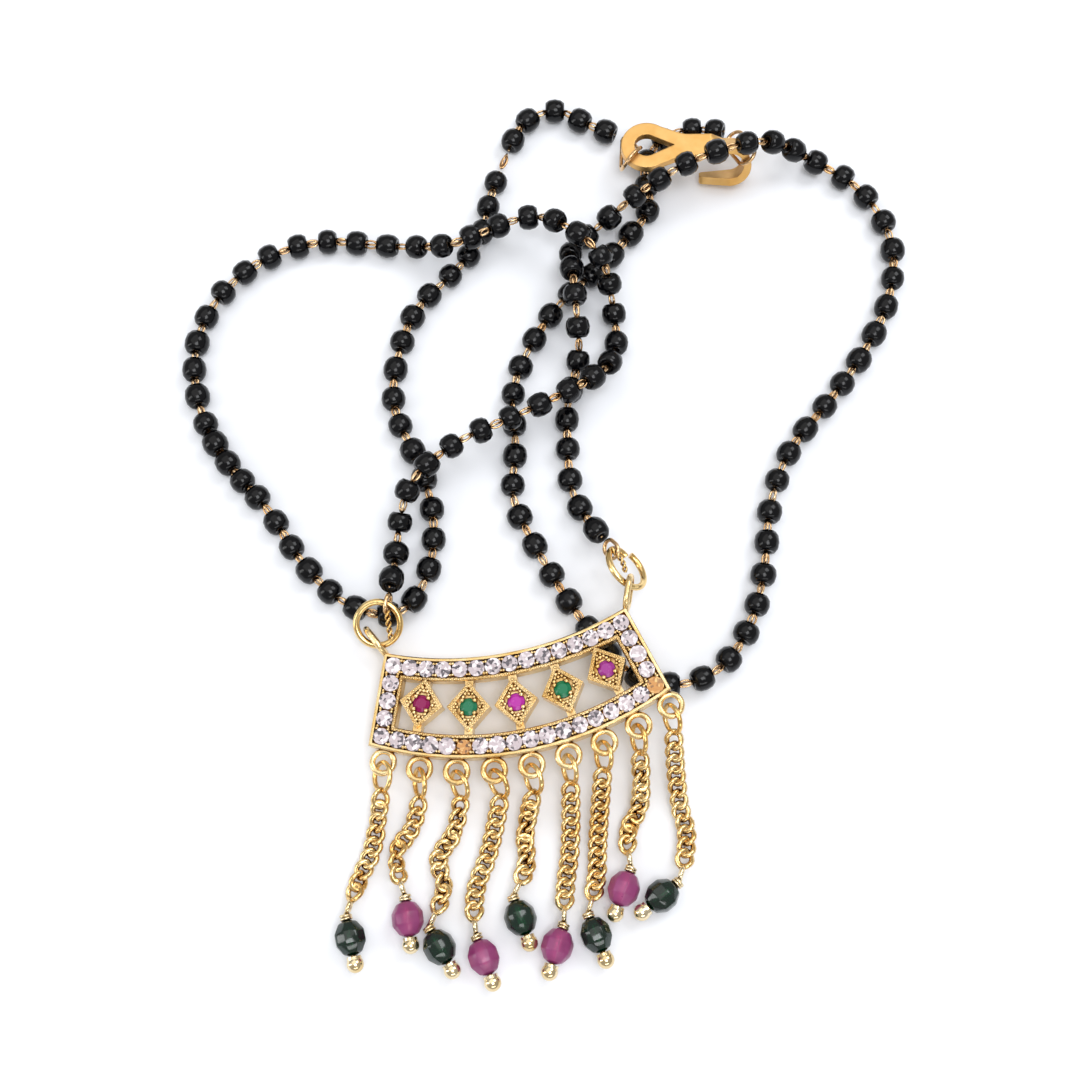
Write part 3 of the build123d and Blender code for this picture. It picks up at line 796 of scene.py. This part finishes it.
# Places in the lower row that hold amber instead of a clear stone, and how deep each one sits
LOST_STONE, LOST_SUNK, LOST_SCALE = 5, 0.3, 0.85
AMBER_STONE, AMBER_SUNK = 17, 0.05
stone_points = [*rows["top"], *rows["right"], *rows["left"]]
stone_points += [point for index, point in enumerate(rows["bottom"])
                 if index not in (LOST_STONE, AMBER_STONE)]
STONE_HEIGHT = 1.52
places = []
for point in stone_points:
    tilt = Matrix.Rotation(radians(draw.uniform(-3, 3)), 4, "X") @ Matrix.Rotation(
        radians(draw.uniform(-3, 3)), 4, "Y")
    places.append(on_pendant(point, STONE_HEIGHT, draw.uniform(0, pi), draw.uniform(0.96, 1.02)) @ tilt)
clear_row = lay_copies(stone_template, places, "clear_stones")
add_piece(clear_row, clear_stone, "pave_crystal")
sunk = [on_pendant(rows["bottom"][AMBER_STONE], STONE_HEIGHT - AMBER_SUNK),
        on_pendant(rows["bottom"][LOST_STONE], STONE_HEIGHT - LOST_SUNK, 0, LOST_SCALE)]
amber = lay_copies(stone_template, sunk, "amber_stones")
add_piece(amber, amber_stone, "pave_crystal")
drop_template(stone_template)

# %% [markdown]
# ### The bed of the stones
# Under the stones lies the band of metal that they are set in. It is the CAD band, copied, merged and
# pressed down a little, so that the rims stand above it as cast rims do.

# %% Bed
BED_DROP = 0.6
BED_UPPER = 1.2
WELD = 0.002
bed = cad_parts["pave_band"].copy()
bed.data = bed.data.copy()
bed.parent = None
bed.matrix_world = Matrix.Identity(4)
bpy.context.collection.objects.link(bed)
bed.name = bed.data.name = "stone_bed"
take(bed)
bpy.ops.object.mode_set(mode="EDIT")
bpy.ops.mesh.select_all(action="SELECT")
bpy.ops.mesh.remove_doubles(threshold=WELD * MM)
bpy.ops.object.mode_set(mode="OBJECT")
to_pendant = PENDANT.inverted()
for vertex in bed.data.vertices:
    local = to_pendant @ vertex.co
    if local.z > BED_UPPER * MM:
        vertex.co = PENDANT @ (local - mm(0, 0, BED_DROP))
add_piece(bed, cast_gold, "pendant_gold", "pave_band")
print("bed:", len(bed.data.polygons), "faces")

# %% [markdown]
# ### Prongs and milled edges
# Prongs are small upright studs of metal, four round each gap between two stones. The inner rim is
# milled: a wheel has rolled a row of tiny grains along it. Both are one grain, 1 mm wide, at other
# sizes, so that its scale is its width in millimetres. A prong is also stretched upwards.

# %% Prongs and grains
grain_template = start_piece(bpy.ops.mesh.primitive_ico_sphere_add, subdivisions=2, radius=0.5 * MM)
shade(grain_template)

PRONG = 0.5
PRONG_OUT = 0.6
PRONG_ALONG = 0.14
PRONG_HEIGHT = 1.34
PRONG_STRETCH = 2.2


def row_prongs(row):
    """Place a prong on each side of the line, between each stone and the next."""
    for before, after in zip(row, row[1:]):
        middle = (before + after) / 2
        way = (after - before).normalized()
        side = Vector((-way.y, way.x))
        for out in (-PRONG_OUT, PRONG_OUT):
            for along in (-PRONG_ALONG, PRONG_ALONG):
                jitter = draw.uniform(-0.04, 0.04)
                spot = middle + side * (out + jitter) + way * along
                place = on_pendant(spot, PRONG_HEIGHT, 0, PRONG * draw.uniform(0.8, 1.05))
                yield place @ Matrix.Diagonal((1, 1, PRONG_STRETCH, 1))


top, bottom = rows["top"], rows["bottom"]
right = [bottom[-1], *rows["right"], top[-1]]
left = [bottom[0], *rows["left"], top[0]]
prongs = [place for row in (top, bottom, right, left) for place in row_prongs(row)]
prong_piece = lay_copies(grain_template, prongs, "stone_prongs")
add_piece(prong_piece, cast_gold, "pendant_gold")

MILL = 0.3
MILL_PITCH = 0.43
MILL_FROM_EDGE = 0.18
mill_inset = RAIL - MILL_FROM_EDGE
mill_rows = outline_rows(mill_inset, 2, 2, 2)
top_run = 2 * mill_rows["top"][-1].x
bottom_run = 2 * mill_rows["bottom"][-1].x
side_run = (mill_rows["top"][-1] - mill_rows["bottom"][-1]).length
mill_rows = outline_rows(mill_inset, ceil(top_run / MILL_PITCH), ceil(bottom_run / MILL_PITCH),
                         ceil(side_run / MILL_PITCH))
milled = [on_pendant(point, FRAME_THICK, 0, MILL * draw.uniform(0.85, 1.1))
          for row in mill_rows.values() for point in row]
mill_piece = lay_copies(grain_template, milled, "milled_rim")
add_piece(mill_piece, cast_gold, "pendant_gold")

# %% [markdown]
# ### The five centre settings
# Each coloured stone sits in a diamond whose field is full of raised grains, inside a rim of smaller
# ones. Four round claws reach over the stone's edge.

# %% Grains in the settings
SETTING_COUNT = 5
SETTING_RADIUS = 30.04
SETTING_MIDDLE = 31.65
SETTING_STEP = 5.06 / SETTING_RADIUS
SETTING_WIDE, SETTING_TALL = 4.6, 5.3
FIELD_HEIGHT = 1.6
FIELD_MARGIN = 1.05
FIELD_WIDE, FIELD_TALL = SETTING_WIDE - FIELD_MARGIN, SETTING_TALL - FIELD_MARGIN
RIM_MARGIN = 0.5
RIM_WIDE, RIM_TALL = SETTING_WIDE - RIM_MARGIN, SETTING_TALL - RIM_MARGIN
RIM_GRAINS = 8
SETTING_THICK = 1.9
CENTRE_STONE = 1.8
FIELD_GRAIN = 0.46
GRAIN_STEP, ROW_STEP = 0.4, 0.87
GRAIN_ROWS = 5
GRAIN_RAISED = 0.06
GRAIN_CLEAR = 0.18
CLAW, CLAW_HEIGHT, CLAW_OUT = 0.5, 1.84, 0.05

grains = []
for number in range(SETTING_COUNT):
    angle = (number - (SETTING_COUNT - 1) / 2) * SETTING_STEP
    middle = Vector((SETTING_RADIUS * sin(angle), SETTING_MIDDLE - SETTING_RADIUS * cos(angle)))
    turn = Matrix.Rotation(angle, 2)
    for row in range(-GRAIN_ROWS, GRAIN_ROWS + 1):
        for column in range(-GRAIN_ROWS, GRAIN_ROWS + 1):
            spot = Vector(((column + (row % 2) / 2) * GRAIN_STEP, row * GRAIN_STEP * ROW_STEP))
            inside = abs(spot.x) / (FIELD_WIDE / 2) + abs(spot.y) / (FIELD_TALL / 2)
            if inside < 1.0 and spot.length > CENTRE_STONE / 2 + GRAIN_CLEAR:
                grains.append(on_pendant(middle + turn @ spot, FIELD_HEIGHT + GRAIN_RAISED, 0,
                                         FIELD_GRAIN * draw.uniform(0.8, 1.15)))
    for quarter in range(4):
        way = angle + (quarter + 0.5) * pi / 2
        spot = Vector((cos(way), sin(way))) * (CENTRE_STONE / 2 + CLAW_OUT)
        grains.append(on_pendant(middle + spot, CLAW_HEIGHT, 0, CLAW))
    corners = [Vector((RIM_WIDE / 2, 0)), Vector((0, RIM_TALL / 2)),
               Vector((-RIM_WIDE / 2, 0)), Vector((0, -RIM_TALL / 2))]
    for corner, after in zip(corners, corners[1:] + corners[:1]):
        for step in range(RIM_GRAINS):
            spot = turn @ corner.lerp(after, step / RIM_GRAINS)
            grains.append(on_pendant(middle + spot, SETTING_THICK, 0, MILL * draw.uniform(0.85, 1.15)))
grain_piece = lay_copies(grain_template, grains, "setting_grains")
add_piece(grain_piece, cast_gold, "pendant_gold")
drop_template(grain_template)

# %% [markdown]
# ## The fringe
# Nine short curb chains hang from rings under the pendant. A curb link is an oval of wire, twisted
# nearly a quarter turn from end to end, so that the next link lies in it at right angles and the whole
# chain lies flat.

# %% One curb link
CURB_WIRE = 0.62
CURB_WIDE = 2.12
CURB_LONG = 2.45
CURB_PITCH = 1.22
CURB_TWIST = 80

link_template = start_piece(
    bpy.ops.mesh.primitive_torus_add, major_segments=20, minor_segments=7,
    major_radius=(CURB_WIDE - CURB_WIRE) / 2 * MM, minor_radius=CURB_WIRE / 2 * MM)
stretch(link_template, (CURB_LONG / CURB_WIDE, 1, 1))
# The twist is a Simple Deform about X, applied
apply_modifier(link_template, "SIMPLE_DEFORM", deform_method="TWIST", deform_axis="X",
               angle=radians(CURB_TWIST))
shade(link_template)

# %% Rings' places and chain lines
MIDDLE_LOOP = 5
LOOP_PITCH, LOOP_SHIFT, LOOP_DROP = 3.83, 0.45, 1.25
RING_RADIUS, RING_WIRE = 1.5, 0.52
GLASS_LONG, GLASS_HEIGHT = 3.6, 1.75
KNEE_CLEAR = 0.45
KNEE = GLASS_LONG / 2 + KNEE_CLEAR
EYE_REACH, EYE_RADIUS, EYE_WIRE = 0.95, 0.62, 0.5
LINK_HOOK, EYE_HOOK = 0.75, 0.55

tassels = (
    {"way": (-17.7, -34.0, 1.1), "chain": ((-18.0, -37.4, 1.0), (-19.6, -40.6, 1.0)),
     "bead": (-20.3, -46.8), "ball": (-19.7, -49.3), "loose": 0.5},
    {"way": (-13.5, -34.2, 1.1), "chain": ((-13.9, -35.8, 1.0), (-16.5, -38.0, 1.0)),
     "bead": (-14.5, -44.9), "ball": (-14.1, -47.6), "loose": 0.8},
    {"way": (-8.9, -33.6, 1.3), "chain": ((-9.6, -36.2, 1.0), (-12.0, -38.8, 1.0), (-10.4, -41.6, 1.0)),
     "bead": (-11.2, -47.7), "ball": (-9.9, -49.9), "loose": 0.8},
    {"way": (-4.5, -33.8, 1.5), "chain": ((-6.0, -38.0, 1.0), (-8.0, -42.2, 1.0)),
     "bead": (-6.7, -48.7), "ball": (-5.8, -51.1), "loose": 0.15},
    {"way": (-1.2, -34.2, 1.7), "chain": ((-2.9, -36.6, 1.0), (-2.0, -39.2, 1.0)),
     "bead": (-3.0, -44.8), "ball": (-2.1, -47.2), "loose": 0.5},
    {"way": (2.4, -33.8, 1.8), "chain": ((2.3, -37.4, 1.0), (1.6, -41.2, 1.0)),
     "bead": (0.75, -47.6), "ball": (0.0, -50.0), "loose": 0.1},
    {"way": (5.4, -33.4, 1.8), "chain": ((4.9, -37.2, 1.0), (5.0, -40.8, 1.0)),
     "bead": (4.7, -46.5), "ball": (5.6, -48.8), "loose": 0.1},
    {"way": (9.4, -31.0, 2.2), "chain": ((10.0, -33.2, 1.0), (7.8, -35.8, 1.0)),
     "bead": (7.6, -41.9), "ball": (6.7, -44.3), "loose": 0.5},
    {"way": (13.4, -29.5, 2.4), "chain": ((13.3, -33.0, 1.0), (14.7, -36.6, 1.0)),
     "bead": (11.5, -42.6), "ball": (9.6, -44.1), "loose": 0.2},
)


def loop_middle(number):
    """Find the middle of one of the pendant's lower loops."""
    along = (number - MIDDLE_LOOP) * LOOP_PITCH + LOOP_SHIFT
    angle = along / bottom_radius
    reach = bottom_radius + LOOP_DROP
    return PENDANT @ mm(reach * sin(angle), bottom_centre - reach * cos(angle), FRAME_THICK / 2)


def bead_frame(row):
    """Give the middle of a fringe bead and the direction of its hole, towards its chain."""
    middle = mm(*row["bead"], GLASS_HEIGHT)
    return middle, (middle - mm(*row["ball"], GLASS_HEIGHT)).normalized()


# %% Curb chains
for number, row in enumerate(tassels, start=1):
    hung_from = loop_middle(number)
    way = (mm(*row["way"]) - hung_from).normalized()
    ring_edge = hung_from + way * (2 * RING_RADIUS + RING_WIRE / 2) * MM
    start = ring_edge - way * LINK_HOOK * MM
    bead_middle, axis = bead_frame(row)
    knee = bead_middle + axis * KNEE * MM
    last_corner = mm(*row["chain"][-1])
    eye_way = (last_corner - knee).normalized()
    end = knee + eye_way * (EYE_REACH + EYE_RADIUS + EYE_WIRE / 2 - EYE_HOOK) * MM
    line = Line([start, *(mm(*corner) for corner in row["chain"]), end])
    first, last = CURB_LONG / 2 * MM, line.length - CURB_LONG / 2 * MM
    count = max(2, round((last - first) / (CURB_PITCH * MM)) + 1)
    places = []
    for index in range(count):
        distance = first + (last - first) * index / (count - 1)
        roll = draw.uniform(-1, 1) * row["loose"]
        places.append(line.place(distance, roll))
    chain = lay_copies(link_template, places, f"curb_links_{number}")
    add_piece(chain, curb_gold, "chain_gold", f"tassel_chain_{number}")
drop_template(link_template)

# %% [markdown]
# ### Fringe beads
# A fire polished bead is pressed as a faceted barrel, and its edges melt a little in the kiln. A
# sphere with eight sides gives the facets, two cuts flatten its ends, and a small bevel melts the
# edges. Its hole is left closed, because the head pin fills it.

# %% Glass beads
GLASS_WIDE = 3.45
GLASS_SIDES, GLASS_RINGS = 8, 5
GLASS_CUT = 0.9
GLASS_MELT = 0.14
glass_template = start_piece(
    bpy.ops.mesh.primitive_uv_sphere_add, segments=GLASS_SIDES, ring_count=GLASS_RINGS,
    radius=GLASS_WIDE / 2 * MM)
bpy.ops.object.mode_set(mode="EDIT")
for side in (-1, 1):
    bpy.ops.mesh.select_all(action="SELECT")
    bpy.ops.mesh.bisect(plane_co=(0, 0, side * GLASS_LONG / 2 * MM * GLASS_CUT),
                        plane_no=(0, 0, side), use_fill=True, clear_outer=True,
                        threshold=0.001 * MM)
bpy.ops.mesh.select_all(action="SELECT")
bpy.ops.transform.resize(value=(1, 1, 1 / GLASS_CUT), center_override=(0, 0, 0))
bpy.ops.mesh.normals_make_consistent(inside=False)
bpy.ops.object.mode_set(mode="OBJECT")
apply_modifier(glass_template, "BEVEL", width=GLASS_MELT * MM, segments=2, limit_method="ANGLE",
               angle_limit=radians(12))
shade(glass_template, 14)

COLLAR_RADIUS, COLLAR_WIRE, COLLAR_TURNS = 0.5, 0.34, 2
# In wire widths: from the bead's end to the first turn, and from each turn to the next
COLLAR_START, COLLAR_STEP = 0.4, 0.9
collars = []
for number, row in enumerate(tassels, start=1):
    middle, axis = bead_frame(row)
    place = frame_at(middle, axis) @ Matrix.Rotation(pi / 2, 4, "Y") @ Matrix.Rotation(
        draw.uniform(0, pi), 4, "Z")
    bead = lay_copies(glass_template, [place], f"fringe_bead_{number}")
    for step in range(COLLAR_TURNS):
        reach = GLASS_LONG / 2 + COLLAR_WIRE * (COLLAR_START + COLLAR_STEP * step)
        collars.append(frame_at(middle + axis * reach * MM, axis) @ Matrix.Rotation(
            draw.uniform(-0.15, 0.15), 4, "Z"))
    glass, slot = (green_glass, "green_glass") if number % 2 else (pink_glass, "pink_glass")
    add_piece(bead, glass, slot, f"glass_bead_{number}")
drop_template(glass_template)

# %% [markdown]
# ### Wrapped collars
# Where a head pin leaves its bead the wire is wound round it twice, which makes a small collar.

# %% Collars
collar_template = start_piece(
    bpy.ops.mesh.primitive_torus_add, major_segments=14, minor_segments=6,
    major_radius=COLLAR_RADIUS * MM, minor_radius=COLLAR_WIRE / 2 * MM, rotation=(0, pi / 2, 0))
bpy.ops.object.transform_apply(location=False, rotation=True, scale=False)
shade(collar_template)
collar_piece = lay_copies(collar_template, collars, "wrapped_collars")
add_piece(collar_piece, pale_gold, "chain_gold")
drop_template(collar_template)

# %% [markdown]
# ## Studio
# The object lies on a plain white table. A large soft light hangs above, a window stands behind it to
# the right, and one beside the camera lights the table through the pendant's openings. Two low strips
# give the metal bright lines, between darker reflections of the room.

# %% Table
TABLE_WIDE = 3000
table = start_piece(bpy.ops.mesh.primitive_plane_add, size=TABLE_WIDE * MM)
table.name = table.data.name = "table"
table_paint, tree = new_material("white_table")
shader = add_node(tree, "ShaderNodeBsdfPrincipled",
                  {"Base Color": linear("#F2F5FA"), "Roughness": 0.9, "Specular IOR Level": 0.1})
finish_material(tree, shader)
table.data.materials.append(table_paint)


# %% Lights
def soft_light(name, place, wide, tall, power, colour):
    """Set a square cornered soft light that faces the object. Its power is in watts."""
    data = bpy.data.lights.new(name, "AREA")
    data.shape = "RECTANGLE"
    data.size, data.size_y = wide * MM, tall * MM
    data.energy = power
    data.color = linear(colour)[:3]
    light = bpy.data.objects.new(name, data)
    bpy.context.collection.objects.link(light)
    light.location = place
    light.rotation_euler = (-place).to_track_quat("-Z", "Y").to_euler()


soft_light("ceiling", mm(-120, 150, 500), 600, 500, 0.8, "#FFFDFA")
soft_light("window", mm(250, 220, 420), 240, 240, 0.8, "#FBFCFF")
soft_light("beside_camera", mm(60, -130, 500), 220, 220, 1.0, "#FBFCFF")
soft_light("left_strip", mm(-450, -100, 200), 100, 400, 0.5, "#FFFFFF")
soft_light("front_strip", mm(100, -450, 250), 400, 80, 0.4, "#FFFFFF")
world = bpy.data.worlds.new("room")
world.use_nodes = True
room = world.node_tree.nodes["Background"]
room.inputs["Color"].default_value = linear("#ECEAE8")
room.inputs["Strength"].default_value = 0.55
bpy.context.scene.world = world
bpy.context.scene.view_settings.view_transform = "Standard"
